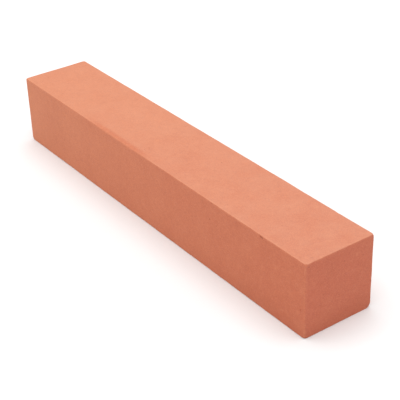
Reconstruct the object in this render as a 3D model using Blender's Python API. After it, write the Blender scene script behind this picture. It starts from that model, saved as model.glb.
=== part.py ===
"""Abrasive stick: one square bar of fine bonded abrasive, pressed and fired in one piece.

The stick lies flat. +X runs along it, +Y across it and +Z up. The origin is the middle of
the face that it lies on. Every length is in metres.
"""

import bmesh
import bpy
from mathutils import Matrix, Vector

# Driving dimensions
LENGTH = 0.1524  # six inches
SECTION = 0.0243  # width and height of the square section
ARRIS_RADIUS = 0.00035  # the hair-fine round that firing and handling leave on each edge
ARRIS_SEGMENTS = 3

# Finish of the fired body, in linear light
BODY_COLOUR = (0.51, 0.15, 0.075, 1.0)
BODY_ROUGHNESS = 0.85
BODY_METALLIC = 0.0


def clear_scene():
    """Empty the scene without closing the file that the script runs from."""
    for thing in list(bpy.data.objects):
        bpy.data.objects.remove(thing, do_unlink=True)


def fired_abrasive():
    """Matt orange body of fine grain in a fired bond."""
    material = bpy.data.materials.new("fired_abrasive")
    material.use_nodes = True
    shader = material.node_tree.nodes["Principled BSDF"]
    shader.inputs["Base Color"].default_value = BODY_COLOUR
    shader.inputs["Roughness"].default_value = BODY_ROUGHNESS
    shader.inputs["Metallic"].default_value = BODY_METALLIC
    return material


def abrasive_stick():
    """The whole stick: a square bar that stands on its bottom face, with eased arrises."""
    bar = bmesh.new()
    size = Matrix.Diagonal(Vector((LENGTH, SECTION, SECTION, 1.0)))
    lift = Matrix.Translation(Vector((0.0, 0.0, SECTION / 2)))
    bmesh.ops.create_cube(bar, size=1.0, matrix=lift @ size)
    bmesh.ops.bevel(
        bar,
        geom=bar.edges[:],
        offset=ARRIS_RADIUS,
        offset_type="OFFSET",
        segments=ARRIS_SEGMENTS,
        profile=0.5,
        affect="EDGES",
        clamp_overlap=True,
    )
    bmesh.ops.recalc_face_normals(bar, faces=bar.faces[:])
    mesh = bpy.data.meshes.new("abrasive_stick")
    bar.to_mesh(mesh)
    bar.free()
    mesh.materials.append(fired_abrasive())
    stick = bpy.data.objects.new("abrasive_stick", mesh)
    bpy.context.scene.collection.objects.link(stick)
    return stick


clear_scene()
abrasive_stick()
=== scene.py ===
"""Looks of the abrasive stick: a worn, fine-grained bar of fired abrasive on a pale floor.

The CAD bar gives the place and the size. One dense mesh replaces it, cut from the same box
with rubbed arrises, knocked corners, chips, pores and rippled faces, so it stays inside that
box. Where an arris is sharper than the CAD bar's, it stands proud of the CAD bar's rounded edge.
Lengths are in metres, and colours are in linear light.
"""

import math
import random

import bmesh
import bpy
from mathutils import Matrix, Vector, kdtree, noise


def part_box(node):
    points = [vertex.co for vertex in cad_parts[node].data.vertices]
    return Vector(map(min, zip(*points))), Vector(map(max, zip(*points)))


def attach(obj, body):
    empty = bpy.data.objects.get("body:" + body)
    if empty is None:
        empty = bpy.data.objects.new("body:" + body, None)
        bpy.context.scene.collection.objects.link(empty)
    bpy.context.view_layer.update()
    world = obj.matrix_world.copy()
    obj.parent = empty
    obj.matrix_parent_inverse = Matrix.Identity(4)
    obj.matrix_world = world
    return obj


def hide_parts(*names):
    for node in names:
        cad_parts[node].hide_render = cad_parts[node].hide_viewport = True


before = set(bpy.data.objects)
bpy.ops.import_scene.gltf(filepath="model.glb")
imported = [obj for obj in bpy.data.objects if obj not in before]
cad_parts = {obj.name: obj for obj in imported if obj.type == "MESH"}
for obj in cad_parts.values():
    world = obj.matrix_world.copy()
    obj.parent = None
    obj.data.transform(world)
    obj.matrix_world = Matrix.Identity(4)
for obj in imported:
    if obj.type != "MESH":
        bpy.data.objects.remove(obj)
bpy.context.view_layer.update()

MM = 0.001

# The bar, from the frame
LOW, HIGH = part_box("abrasive_stick")
MIDDLE = (LOW + HIGH) / 2
HALF = (HIGH - LOW) / 2

# Mesh grid: fine beside the arrises, even between them, and split under every bite
GRID_PITCH = 0.55 * MM
FIRST_STEP = 0.07 * MM
STEP_GROWTH = 1.4
BITE_EDGE = 0.15 * MM  # edges longer than this are split under a bite
BITE_SPLITS = 2

# Arrises: how far they are rubbed round, and how much that wanders
ARRIS_RADIUS = 0.30 * MM
ARRIS_WANDER = 0.45  # share of the radius
ARRIS_WANDER_SIZE = 7.0 * MM
CRUMBLE_DEPTH = 0.35 * MM  # extra radius where an arris has crumbled most
CRUMBLE_SIZE = 1.7 * MM
CRUMBLE_START = 0.42  # noise level above which an arris crumbles
CRUMBLE_FULL = 0.95
CRUMBLE_SHIFT = Vector((31.0, 17.0, 5.0))  # keeps the crumbling from following the wander
SMALLEST_RADIUS = 0.08 * MM

# One stretch of the front top arris is rubbed rounder than the rest, and wiped clean of dust and of
# the painted top light
WORN_PLACE = -16.0 * MM  # its middle, along X
WORN_LENGTH = (8.0 * MM, 22.0 * MM)  # from its middle to where it begins to fade, and is gone
WORN_WIDTH = (0.8 * MM, 2.5 * MM)  # the same, out from the arris
WORN_EXTRA = 0.25 * MM  # extra radius at its middle

# Faces: how far they lie below the true plane, at three sizes of ripple
RIPPLES = (
    # size, depth
    (24.0 * MM, 0.030 * MM),
    (5.0 * MM, 0.012 * MM),
    (1.6 * MM, 0.010 * MM),
)

# Corners knocked blunt: which corner, and how far along its edges the break reaches
KNOCKED_CORNERS = (
    ((1, 1, -1), 1.25 * MM),
    ((1, 1, 1), 0.75 * MM),
    ((1, -1, -1), 0.95 * MM),
    ((-1, -1, -1), 0.90 * MM),
    ((-1, 1, 1), 0.75 * MM),
    ((1, -1, 1), 0.75 * MM),
    ((-1, -1, 1), 0.60 * MM),
    ((-1, 1, -1), 1.00 * MM),
)
BREAK_BLEND = 0.30  # share of the reach over which a break rounds into the faces
BREAK_ROUGHNESS = 0.14  # height of a break's lumps, as a share of its reach
BREAK_LUMP = 0.55  # size of a break's lumps, as a share of its reach
BREAK_SEARCH = 3  # a break does nothing further than this many reaches from its corner

# Bites: small chips out of the arrises, and open pores in the faces
BITE_ROUGHNESS = 0.24  # height of a bite's lumps, as a share of its radius
BITE_LUMPS = (
    # size as a share of the radius, strength
    (0.80, 1.0),
    (0.35, 0.6),
)
CHIP_SEED = 11
CHIP_COUNT = 16
CHIP_RADIUS = (0.30 * MM, 0.60 * MM)
CHIP_OUTSET = 0.62  # share of its radius that a chip's middle lies outside the arris
PORE_SEED = 7
PORE_COUNT = 46
PORE_RADIUS = (0.13 * MM, 0.24 * MM)
PORE_OUTSET = 0.35  # share of its radius that a pore's middle lies outside the face
PORE_FACES = (1, 6, 6)  # how the pores are shared between the faces across X, Y and Z

# The one dark nick, in the front face just under its top arris: pores that have run together, its
# darkness partly painted shade
NICK = (
    # along the stick, below the top, radius
    (57.35 * MM, 0.56 * MM, 0.32 * MM),
    (57.75 * MM, 0.72 * MM, 0.38 * MM),
    (58.15 * MM, 0.74 * MM, 0.30 * MM),
)

# How deep a bite is, as a share of its radius, where it is fully marked as broken or as a pore
CHIP_MARKED = 0.25
PORE_MARKED = 0.5

# Camera
CAMERA_PLACE = (0.25710, -0.17115, 0.18635)
CAMERA_AZIMUTH = math.radians(55.08)
CAMERA_ELEVATION = math.radians(30.55)
CAMERA_ROLL = math.radians(-2.09)
CAMERA_LENS = 100.15
CAMERA_SENSOR = 36.0


# Shape -------------------------------------------------------------------------------


def spaced_lines(half):
    """Grid lines along one side of the bar, from -half to half, crowded towards both ends."""
    steps = []
    step = FIRST_STEP
    while step < GRID_PITCH:
        steps.append(step)
        step *= STEP_GROWTH
    open_length = 2 * (half - sum(steps))
    count = round(open_length / GRID_PITCH)
    gaps = steps + [open_length / count] * count + steps[::-1]
    places = [-half]
    for gap in gaps:
        places.append(places[-1] + gap)
    return places


def add_box_grid(bar, lines):
    """Adds the six faces of a box to bar, each a grid through the lines of its two axes."""
    corners = {}

    def corner(steps):
        if steps not in corners:
            corners[steps] = bar.verts.new([lines[axis][steps[axis]] for axis in range(3)])
        return corners[steps]

    for axis in range(3):
        along, up = (axis + 1) % 3, (axis + 2) % 3
        for side in (0, len(lines[axis]) - 1):
            for i in range(len(lines[along]) - 1):
                for j in range(len(lines[up]) - 1):
                    quad = []
                    for di, dj in ((0, 0), (1, 0), (1, 1), (0, 1)):
                        steps = [0, 0, 0]
                        steps[axis] = side
                        steps[along] = i + di
                        steps[up] = j + dj
                        quad.append(corner(tuple(steps)))
                    if side == 0:
                        quad.reverse()
                    bar.faces.new(quad)


def smooth_step(value, start, full):
    """0 below start, 1 above full, and a smooth ramp between them."""
    share = min(max((value - start) / (full - start), 0.0), 1.0)
    return share * share * (3 - 2 * share)


def worn(place):
    """1 in the worn stretch of the front top arris, and 0 away from it."""
    out = math.hypot(place.y + HALF.y, place.z - HALF.z)
    along = 1 - smooth_step(abs(place.x - WORN_PLACE), *WORN_LENGTH)
    return along * (1 - smooth_step(out, *WORN_WIDTH))


def arris_radius(place):
    """Radius that the arris is rubbed to near place: it wanders, and crumbles here and there."""
    wander = noise.noise(place / ARRIS_WANDER_SIZE)
    crumble = noise.noise(place / CRUMBLE_SIZE + CRUMBLE_SHIFT)
    radius = ARRIS_RADIUS * (1 + ARRIS_WANDER * wander)
    radius += CRUMBLE_DEPTH * smooth_step(crumble, CRUMBLE_START, CRUMBLE_FULL)
    radius += WORN_EXTRA * worn(place)
    return max(radius, SMALLEST_RADIUS)


def rounded(place):
    """Moves a place on the sharp box onto the box with rubbed arrises, and gives the normal there."""
    radius = arris_radius(place)
    core = Vector([min(max(place[a], radius - HALF[a]), HALF[a] - radius) for a in range(3)])
    outward = (place - core).normalized()
    return core + outward * radius, outward


def ripple(place):
    """How far the face lies below its true plane at place, never less than nothing."""
    depth = 0.0
    for size, most in RIPPLES:
        depth += most * (0.5 + 0.5 * noise.noise(place / size))
    return depth


def soft_positive(value, blend):
    """value where it is above blend, 0 where it is below -blend, and a smooth bend between."""
    if value <= -blend:
        return 0.0
    if value >= blend:
        return value
    return (value + blend) ** 2 / (4 * blend)


def knocked(place):
    """Cuts place back to the rough break across each knocked corner, and says how deep it lies."""
    cut = 0.0
    for signs, reach in KNOCKED_CORNERS:
        tip = Vector([signs[a] * HALF[a] for a in range(3)])
        if (place - tip).length > BREAK_SEARCH * reach:
            continue
        outward = Vector(signs).normalized()
        rough = BREAK_ROUGHNESS * reach * noise.noise(place / (BREAK_LUMP * reach))
        above = (place - tip).dot(outward) + reach / math.sqrt(3) + rough
        above = soft_positive(above, BREAK_BLEND * reach)
        place = place - outward * above
        cut = max(cut, min(above / (BREAK_BLEND * reach), 1.0))
    return place, cut


def chips():
    """Small chips scattered along the arrises: the middle, radius and way in of each."""
    draw = random.Random(CHIP_SEED)
    found = []
    for _ in range(CHIP_COUNT):
        along = draw.choices((0, 1, 2), weights=tuple(HALF))[0]
        radius = draw.uniform(*CHIP_RADIUS)
        out = CHIP_OUTSET * radius / math.sqrt(2)
        middle = Vector([draw.choice((-1, 1)) * (HALF[a] + out) for a in range(3)])
        inward = Vector([-math.copysign(1.0, middle[a]) for a in range(3)])
        inward[along] = 0.0
        middle[along] = draw.uniform(-HALF[along], HALF[along])
        found.append((middle, radius, inward.normalized()))
    return found


def pores():
    """Open pores in the faces, as for chips: the nick's, and others scattered about."""
    draw = random.Random(PORE_SEED)
    found = []
    for along, below, radius in NICK:
        middle = Vector((along, -HALF.y - PORE_OUTSET * radius, HALF.z - below))
        found.append((middle, radius, Vector((0.0, 1.0, 0.0))))
    for _ in range(PORE_COUNT):
        across = draw.choices((0, 1, 2), weights=PORE_FACES)[0]
        radius = draw.uniform(*PORE_RADIUS)
        middle = Vector([draw.uniform(-HALF[a], HALF[a]) for a in range(3)])
        side = draw.choice((-1, 1))
        middle[across] = side * (HALF[across] + PORE_OUTSET * radius)
        inward = Vector()
        inward[across] = -side
        found.append((middle, radius, inward))
    return found


class Bites:
    """Rough hollows, each cut by a ball whose middle lies just outside the bar."""

    def __init__(self, balls):
        self.balls = balls
        self.reach = (1 + 2 * BITE_ROUGHNESS) * max(radius for _, radius, _ in balls)
        self.tree = kdtree.KDTree(len(balls))
        for index, (middle, _, _) in enumerate(balls):
            self.tree.insert(middle, index)
        self.tree.balance()

    def near(self, place, margin):
        """Whether place is inside the nearest ball, or within margin of it."""
        _, index, away = self.tree.find(place)
        return away < self.balls[index][1] + margin

    def cut(self, place):
        """Sinks place to the far side of the balls round it, and says how far, in their radius."""
        deepest, way, share = 0.0, Vector(), 0.0
        for middle, index, _ in self.tree.find_range(place, self.reach):
            _, radius, inward = self.balls[index]
            lumps = sum(most * noise.noise(place / (size * radius)) for size, most in BITE_LUMPS)
            rough = radius * (1 + BITE_ROUGHNESS * lumps)
            sunk = (place - middle).dot(inward)
            beside = (place - middle - inward * sunk).length
            depth = math.sqrt(max(rough * rough - beside * beside, 0.0)) - sunk
            if depth > deepest:
                deepest, way, share = depth, inward, depth / radius
        return place + way * deepest, share


def split_under(bar, bites):
    """Splits the long edges under each bite, so that its hollow has points to take its shape."""
    for _ in range(BITE_SPLITS):
        found = []
        for edge in bar.edges:
            middle = (edge.verts[0].co + edge.verts[1].co) / 2
            if bites.near(middle, GRID_PITCH / 2) and edge.calc_length() > BITE_EDGE:
                found.append(edge)
        bmesh.ops.subdivide_edges(bar, edges=found, cuts=1, use_grid_fill=True)


def arris_nearness(place):
    """Distance along the face from place to the nearest arris."""
    return sorted(HALF[a] - abs(place[a]) for a in range(3))[1]


def stick_body():
    """The visible stick, as one closed mesh that stays inside the CAD bar's box.

    Four values on its points tell the material where it is: "arris" is the distance to the
    nearest arris in millimetres, and "broken", "pore" and "wiped" go from 0 to 1.
    """
    bar = bmesh.new()
    add_box_grid(bar, [spaced_lines(HALF[a]) for a in range(3)])
    broken_out, open_pores = Bites(chips()), Bites(pores())
    split_under(bar, broken_out)
    split_under(bar, open_pores)
    bmesh.ops.triangulate(bar, faces=[face for face in bar.faces if len(face.verts) > 4])
    arris = bar.verts.layers.float.new("arris")
    broken = bar.verts.layers.float.new("broken")
    pore = bar.verts.layers.float.new("pore")
    wiped = bar.verts.layers.float.new("wiped")
    for vert in bar.verts:
        flat = vert.co.copy()
        place, outward = rounded(flat)
        place -= outward * ripple(flat)
        place, knock = knocked(place)
        place, chip = broken_out.cut(place)
        place, hole = open_pores.cut(place)
        vert.co = place + MIDDLE
        vert[arris] = arris_nearness(flat) / MM
        vert[broken] = max(knock, smooth_step(chip, 0.0, CHIP_MARKED))
        vert[pore] = smooth_step(hole, 0.0, PORE_MARKED)
        vert[wiped] = worn(flat)
    mesh = bpy.data.meshes.new("stick_body")
    bar.to_mesh(mesh)
    bar.free()
    mesh.shade_smooth()
    body = bpy.data.objects.new("stick_body", mesh)
    bpy.context.scene.collection.objects.link(body)
    return body


# Materials ---------------------------------------------------------------------------


class Nodes:
    """Short ways to add and join the nodes of one material."""

    def __init__(self, name):
        self.material = bpy.data.materials.new(name)
        self.material.use_nodes = True
        self.tree = self.material.node_tree
        self.shader = self.tree.nodes["Principled BSDF"]
        coordinates = self.tree.nodes.new("ShaderNodeTexCoord")
        self.place = coordinates.outputs["Object"]
        self.normal = coordinates.outputs["Normal"]

    def add(self, kind, **settings):
        node = self.tree.nodes.new(kind)
        for name, value in settings.items():
            setattr(node, name, value)
        return node

    def feed(self, socket, value):
        """Links value into socket if it is an output, and sets it if it is a plain value."""
        if isinstance(value, bpy.types.NodeSocket):
            self.tree.links.new(value, socket)
        else:
            socket.default_value = value

    def noise(self, size, detail=2.0, roughness=0.5, shift=0.0):
        """Noise from 0 to 1 with lumps of about the given size."""
        node = self.add("ShaderNodeTexNoise", noise_dimensions="4D")
        self.feed(node.inputs["Vector"], self.place)
        self.feed(node.inputs["W"], shift)
        self.feed(node.inputs["Scale"], 1 / size)
        self.feed(node.inputs["Detail"], detail)
        self.feed(node.inputs["Roughness"], roughness)
        return node.outputs["Fac"]

    def shaken(self, size, reach):
        """The place moved about by up to reach, in lumps of the given size.

        Cells that are made from it lose their straight sides.
        """
        noise_node = self.add("ShaderNodeTexNoise")
        self.feed(noise_node.inputs["Vector"], self.place)
        self.feed(noise_node.inputs["Scale"], 1 / size)
        self.feed(noise_node.inputs["Detail"], 1.0)
        centred = self.add("ShaderNodeVectorMath", operation="SUBTRACT")
        self.feed(centred.inputs[0], noise_node.outputs["Color"])
        centred.inputs[1].default_value = (0.5, 0.5, 0.5)
        moved = self.add("ShaderNodeVectorMath", operation="MULTIPLY_ADD")
        self.feed(moved.inputs[0], centred.outputs["Vector"])
        moved.inputs[1].default_value = (2 * reach, 2 * reach, 2 * reach)
        self.feed(moved.inputs[2], self.place)
        return moved.outputs["Vector"]

    def cells(self, size, place):
        """Cells of about the given size: the distance to each middle, and two random numbers."""
        node = self.add("ShaderNodeTexVoronoi")
        self.feed(node.inputs["Vector"], place)
        self.feed(node.inputs["Scale"], 1 / size)
        parts = self.add("ShaderNodeSeparateColor")
        self.feed(parts.inputs["Color"], node.outputs["Color"])
        return node.outputs["Distance"], parts.outputs["Red"], parts.outputs["Green"]

    def ramp(self, value, start, full, low=0.0, high=1.0, kind="SMOOTHSTEP"):
        """low where value is at start, high where it is at full, and a ramp between them."""
        node = self.add("ShaderNodeMapRange", interpolation_type=kind)
        self.feed(node.inputs["Value"], value)
        limits = {"From Min": start, "From Max": full, "To Min": low, "To Max": high}
        for name, number in limits.items():
            self.feed(node.inputs[name], number)
        return node.outputs["Result"]

    def math(self, operation, first, second=0.0):
        node = self.add("ShaderNodeMath", operation=operation)
        self.feed(node.inputs[0], first)
        self.feed(node.inputs[1], second)
        return node.outputs["Value"]

    def mix(self, share, first, second):
        """Colour that goes from first to second as share goes from 0 to 1."""
        node = self.add("ShaderNodeMix", data_type="RGBA")
        self.feed(node.inputs["Factor"], share)
        self.feed(node.inputs["A"], first)
        self.feed(node.inputs["B"], second)
        return node.outputs["Result"]

    def axis(self, name):
        """Place along one axis, in metres."""
        node = self.add("ShaderNodeSeparateXYZ")
        self.feed(node.inputs["Vector"], self.place)
        return node.outputs[name]

    def facing(self, name):
        """How far the smooth surface faces along one axis, from -1 to 1."""
        node = self.add("ShaderNodeSeparateXYZ")
        self.feed(node.inputs["Vector"], self.normal)
        return node.outputs[name]

    def attribute(self, name):
        return self.add("ShaderNodeAttribute", attribute_name=name).outputs["Fac"]

    def bump(self, height, depth, normal=None):
        """Bends the normal by height, whose full range stands for depth in metres."""
        node = self.add("ShaderNodeBump")
        self.feed(node.inputs["Height"], height)
        self.feed(node.inputs["Distance"], depth)
        self.feed(node.inputs["Strength"], 1.0)
        if normal is not None:
            self.feed(node.inputs["Normal"], normal)
        return node.outputs["Normal"]


# The stick's colours
NEAR_TONE = (0.486, 0.125, 0.059, 1.0)  # the body at +X
FAR_TONE = (0.550, 0.185, 0.091, 1.0)  # the body at -X, a little paler
END_TONE = (0.47, 0.100, 0.072, 1.0)
DEEP_TONE = (0.38, 0.090, 0.041, 1.0)
PALE_TONE = (0.63, 0.230, 0.118, 1.0)
BROKEN_TONE = (0.43, 0.100, 0.045, 1.0)
PORE_SHADE_TONE = (0.20, 0.048, 0.024, 1.0)
RUBBED_HIGHLIGHT_TONE = (0.62, 0.24, 0.13, 1.0)
DUST_AND_TOP_LIGHT_TONE = (0.90, 0.70, 0.50, 1.0)

# How strongly each of them shows, where it shows most
END_SHARE = 0.30
LOW_SHADE_SHARE = 0.28
BLOTCH_SHARE = 0.18
FLECK_SHARE = 0.24
CLUMP_SHARE = 0.05
GRAIN_SHARE = 0.24
BROKEN_SHARE = 0.60
PORE_SHADE_SHARE = 0.40
RUBBED_HIGHLIGHT_SHARE = 0.28
DUST_AND_TOP_LIGHT_SHARE = (0.060, 0.100)  # least and most
DUST_AND_TOP_LIGHT_ALONG = (0.70, 1.35)  # times that, at -X and at +X

# The values of a noise, and of how far the surface faces some way, between which a thing comes in
NOISE_SPAN = (0.2, 0.8)
PATCH_SPAN = (0.3, 0.7)
PALER_SPAN = (0.5, 0.8)
DEEPER_SPAN = (0.5, 0.2)
FACING_SPAN = (0.3, 0.9)

# Sizes of what the material is made of
TONE_DRIFT_SIZE = 30.0 * MM
TONE_DRIFT = 18.0 * MM  # how far along the stick the change of tone wanders
BLOTCH_SIZE = 9.0 * MM
FLECK_SIZE = 1.9 * MM
CLUMP_SIZE = 0.62 * MM
GRAIN_SIZE = 0.20 * MM
SAND_SIZE = 0.12 * MM
SHAKE_SIZE = 0.40 * MM
SHAKE_REACH = 0.12 * MM
DUST_AND_TOP_LIGHT_SIZE = 6.0 * MM
RUBBED_HIGHLIGHT_SIZE = 2.2 * MM
RUBBED_HIGHLIGHT_REACH = (0.8, 0.1)  # millimetres from the arris where the rubbing and painted highlight begin and are full
LOW_SHADE_HEIGHT = 9.0 * MM  # how far up the sides the painted shade reaches
LOW_SHADE_ALONG = (15.0 * MM, 70.0 * MM)  # where along X it begins and is full

# Pores too fine for the mesh: size of the cells, radius, and share of the cells left closed
OPEN_PORES = (1.7 * MM, 0.20 * MM, 0.70)
PIN_PORES = (0.7 * MM, 0.09 * MM, 0.50)
PIN_PORE_STRENGTH = 0.7
SMALLEST_PORE = 0.5  # share of the radius
PORE_BOTTOM = 0.55  # share of its radius within which a pore is fully open
PORE_CHANCE_BLEND = 0.1

# Relief too fine for the mesh
SAND_RELIEF = 0.020 * MM
GRAIN_RELIEF = 0.035 * MM
CLUMP_RELIEF = 0.012 * MM
PORE_RELIEF = 0.10 * MM

# Finish
ROUGHNESS = (0.68, 0.84)  # least and most over the grains
GLINT_START = 0.93  # the share of the grains that don't glint
GLINT = 0.32  # how much less rough the brightest glint is
SPECULAR = 0.4


def mottled(n, colour, value, share):
    """Pales colour where value is over a half and deepens it where it is under, by up to share."""
    colour = n.mix(n.ramp(value, *PALER_SPAN, 0.0, share), colour, PALE_TONE)
    return n.mix(n.ramp(value, *DEEPER_SPAN, 0.0, share), colour, DEEP_TONE)


def body_colour(n):
    """Tone of the fired body: unevenly paler towards the far end, and redder at both ends."""
    drift = n.ramp(n.noise(TONE_DRIFT_SIZE, shift=1.0), *NOISE_SPAN, -TONE_DRIFT, TONE_DRIFT)
    along = n.ramp(n.math("ADD", n.axis("X"), drift), HALF.x, -HALF.x, kind="LINEAR")
    end = n.ramp(n.math("ABSOLUTE", n.facing("X")), *FACING_SPAN, 0.0, END_SHARE)
    return n.mix(end, n.mix(along, NEAR_TONE, FAR_TONE), END_TONE)


def painted_low_shade(n):
    """How much painted shade the surface has: only low down, and towards +X."""
    low = n.ramp(n.axis("Z"), LOW.z + LOW_SHADE_HEIGHT, LOW.z)
    return n.math("MULTIPLY", low, n.ramp(n.axis("X"), *LOW_SHADE_ALONG, 0.0, LOW_SHADE_SHARE))


def fine_pores(n, place, size, radius, closed):
    """Round openings of about radius in cells of size, left closed in a share of the cells."""
    away, chance, width = n.cells(size, place)
    rim = n.ramp(width, 0.0, 1.0, SMALLEST_PORE * radius / size, radius / size, "LINEAR")
    hole = n.ramp(n.math("DIVIDE", away, rim), 1.0, PORE_BOTTOM)
    return n.math("MULTIPLY", hole, n.ramp(chance, closed, closed + PORE_CHANCE_BLEND))


def all_pores(n, place):
    """Where the surface is open: the hollows in the mesh, and the pores too fine for it."""
    pins = n.math("MULTIPLY", fine_pores(n, place, *PIN_PORES), PIN_PORE_STRENGTH)
    holes = n.math("MAXIMUM", fine_pores(n, place, *OPEN_PORES), n.attribute("pore"))
    return n.math("MAXIMUM", holes, pins)


def rubbing_and_edge_highlight(n):
    """How rubbed the surface is, with a painted highlight along the arrises: only near the arrises,
    and in patches.
    """
    near = n.ramp(n.attribute("arris"), *RUBBED_HIGHLIGHT_REACH)
    patches = n.ramp(n.noise(RUBBED_HIGHLIGHT_SIZE, detail=3, shift=4.0), *PATCH_SPAN, 0.0, RUBBED_HIGHLIGHT_SHARE)
    return n.math("MULTIPLY", near, patches)


def dust_and_top_light(n, bare):
    """How dusty the surface is, together with the painted light on its top: only where it faces up
    and isn't bare, and more towards +X.
    """
    film = n.noise(DUST_AND_TOP_LIGHT_SIZE, detail=4, roughness=0.6, shift=5.0)
    film = n.ramp(film, *NOISE_SPAN, *DUST_AND_TOP_LIGHT_SHARE)
    film = n.math("MULTIPLY", film, n.ramp(n.axis("X"), -HALF.x, HALF.x, *DUST_AND_TOP_LIGHT_ALONG, "LINEAR"))
    up = n.ramp(n.facing("Z"), *FACING_SPAN)
    return n.math("MULTIPLY", n.math("MULTIPLY", up, film), n.math("SUBTRACT", 1.0, bare))


def fired_abrasive():
    """Brick-orange bonded abrasive: sandy grain, faint mottling, fine pores with painted shade,
    rubbed arrises with a painted highlight, dust with painted top light, painted shade low down.
    """
    n = Nodes("fired_abrasive_worn")
    broken = n.attribute("broken")
    loose = n.shaken(SHAKE_SIZE, SHAKE_REACH)
    pore = all_pores(n, loose)
    away_from_clump, clump, _ = n.cells(CLUMP_SIZE, loose)
    away_from_grain, grain, glint = n.cells(GRAIN_SIZE, loose)

    colour = body_colour(n)
    colour = mottled(n, colour, n.noise(BLOTCH_SIZE, detail=3, shift=2.0), BLOTCH_SHARE)
    colour = mottled(n, colour, n.noise(FLECK_SIZE, detail=3, roughness=0.6, shift=3.0), FLECK_SHARE)
    colour = mottled(n, colour, clump, CLUMP_SHARE)
    colour = mottled(n, colour, grain, GRAIN_SHARE)
    # Painted shade: darker low down on the sides, towards +X.
    colour = n.mix(painted_low_shade(n), colour, DEEP_TONE)
    colour = n.mix(n.math("MULTIPLY", broken, BROKEN_SHARE), colour, BROKEN_TONE)
    # Painted shade: the pores darkened where shade falls inside them.
    colour = n.mix(n.math("MULTIPLY", pore, PORE_SHADE_SHARE), colour, PORE_SHADE_TONE)
    # Rubbed arrises paled: partly wear, partly a painted highlight along the edges.
    colour = n.mix(rubbing_and_edge_highlight(n), colour, RUBBED_HIGHLIGHT_TONE)
    # Dust and painted top light: paler where the surface faces up, partly a dust film and partly
    # painted light on the top.
    colour = n.mix(dust_and_top_light(n, n.math("MAXIMUM", broken, n.attribute("wiped"))), colour, DUST_AND_TOP_LIGHT_TONE)
    n.feed(n.shader.inputs["Base Color"], colour)

    dull = n.ramp(grain, 0.0, 1.0, *ROUGHNESS)
    shine = n.ramp(glint, GLINT_START, 1.0, 0.0, GLINT)
    n.feed(n.shader.inputs["Roughness"], n.math("SUBTRACT", dull, shine))
    n.feed(n.shader.inputs["Specular IOR Level"], SPECULAR)

    normal = n.bump(n.noise(SAND_SIZE, detail=2, roughness=0.6, shift=6.0), SAND_RELIEF)
    normal = n.bump(away_from_grain, -GRAIN_RELIEF, normal)
    normal = n.bump(away_from_clump, -CLUMP_RELIEF, normal)
    normal = n.bump(pore, -PORE_RELIEF, normal)
    n.feed(n.shader.inputs["Normal"], normal)
    return n.material


FLOOR_TONE = (0.80, 0.80, 0.80, 1.0)
FAR_FLOOR_TONE = (0.98, 0.98, 0.98, 1.0)
FLOOR_FADE = (0.30, 1.30)  # distances from the stick between which the floor pales
FLOOR_LUMP = 0.20
FLOOR_WANDER = 0.05  # how far those distances wander
FLOOR_ROUGHNESS = 0.9
FLOOR_SPECULAR = 0.1


def pale_floor():
    """Matt white floor, paler far off, where the soft boxes don't reach, to meet the backdrop."""
    n = Nodes("pale_floor")
    distance = n.add("ShaderNodeVectorMath", operation="LENGTH")
    n.feed(distance.inputs[0], n.place)
    wander = n.ramp(n.noise(FLOOR_LUMP), *NOISE_SPAN, -FLOOR_WANDER, FLOOR_WANDER)
    far = n.ramp(n.math("ADD", distance.outputs["Value"], wander), *FLOOR_FADE)
    n.feed(n.shader.inputs["Base Color"], n.mix(far, FLOOR_TONE, FAR_FLOOR_TONE))
    n.feed(n.shader.inputs["Roughness"], FLOOR_ROUGHNESS)
    n.feed(n.shader.inputs["Specular IOR Level"], FLOOR_SPECULAR)
    return n.material


# Stage -------------------------------------------------------------------------------

FLOOR_SIZE = 6.0
WORLD_TONE = (1.0, 1.0, 1.0, 1.0)
WORLD_STRENGTH = 1.0
NEAR_CLIP = 0.01
FAR_CLIP = 20.0

SOFT_BOXES = (
    # name, azimuth and elevation in degrees, distance, size, radiance
    ("overhead", 0.0, 88.0, 0.75, 0.70, 2.10),
    ("front_left", -35.0, 30.0, 0.90, 0.50, 0.60),
)


def direction(azimuth, elevation):
    """Unit vector from the stick: azimuth 0 is -Y and a quarter turn is +X; elevation is upwards."""
    return Vector((
        math.sin(azimuth) * math.cos(elevation),
        -math.cos(azimuth) * math.cos(elevation),
        math.sin(elevation),
    ))


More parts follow.
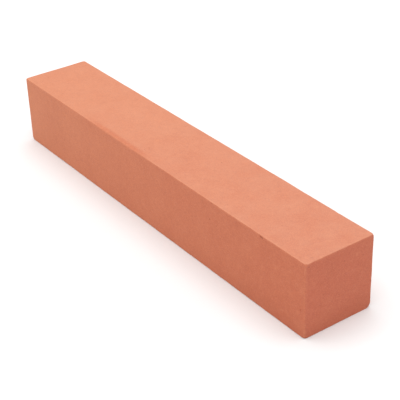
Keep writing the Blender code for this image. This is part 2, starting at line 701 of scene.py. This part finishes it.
def floor():
    """The floor that the stick lies on."""
    plane = bmesh.new()
    bmesh.ops.create_grid(plane, x_segments=1, y_segments=1, size=FLOOR_SIZE / 2)
    mesh = bpy.data.meshes.new("floor")
    plane.to_mesh(mesh)
    plane.free()
    mesh.materials.append(pale_floor())
    ground = bpy.data.objects.new("floor", mesh)
    ground.location.z = LOW.z
    bpy.context.scene.collection.objects.link(ground)


def soft_box(name, azimuth, elevation, distance, size, radiance):
    """A square white soft box that faces the stick from a direction."""
    lamp = bpy.data.lights.new(name, "AREA")
    lamp.shape = "SQUARE"
    lamp.size = size
    lamp.energy = radiance * math.pi * size * size
    light = bpy.data.objects.new(name, lamp)
    towards = direction(math.radians(azimuth), math.radians(elevation))
    light.location = MIDDLE + towards * distance
    light.rotation_euler = (-towards).to_track_quat("-Z", "Y").to_euler()
    bpy.context.scene.collection.objects.link(light)


def world_light():
    """Even white light from all round, which is also the backdrop."""
    world = bpy.data.worlds.new("studio")
    world.use_nodes = True
    background = world.node_tree.nodes["Background"]
    background.inputs["Color"].default_value = WORLD_TONE
    background.inputs["Strength"].default_value = WORLD_STRENGTH
    bpy.context.scene.world = world


def camera():
    """The camera, looking down along the stick from beyond its near end."""
    lens = bpy.data.cameras.new("camera")
    lens.lens = CAMERA_LENS
    lens.sensor_width = CAMERA_SENSOR
    lens.clip_start = NEAR_CLIP
    lens.clip_end = FAR_CLIP
    view = bpy.data.objects.new("camera", lens)
    back = direction(CAMERA_AZIMUTH, CAMERA_ELEVATION)
    turn = (-back).to_track_quat("-Z", "Y").to_matrix() @ Matrix.Rotation(CAMERA_ROLL, 3, "Z")
    view.rotation_euler = turn.to_euler()
    view.location = CAMERA_PLACE
    bpy.context.scene.collection.objects.link(view)
    bpy.context.scene.camera = view


body = stick_body()
body.data.materials.append(fired_abrasive())
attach(body, "root")
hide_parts("abrasive_stick")

floor()
world_light()
for settings in SOFT_BOXES:
    soft_box(*settings)
bpy.context.scene.view_settings.view_transform = "Standard"
camera()
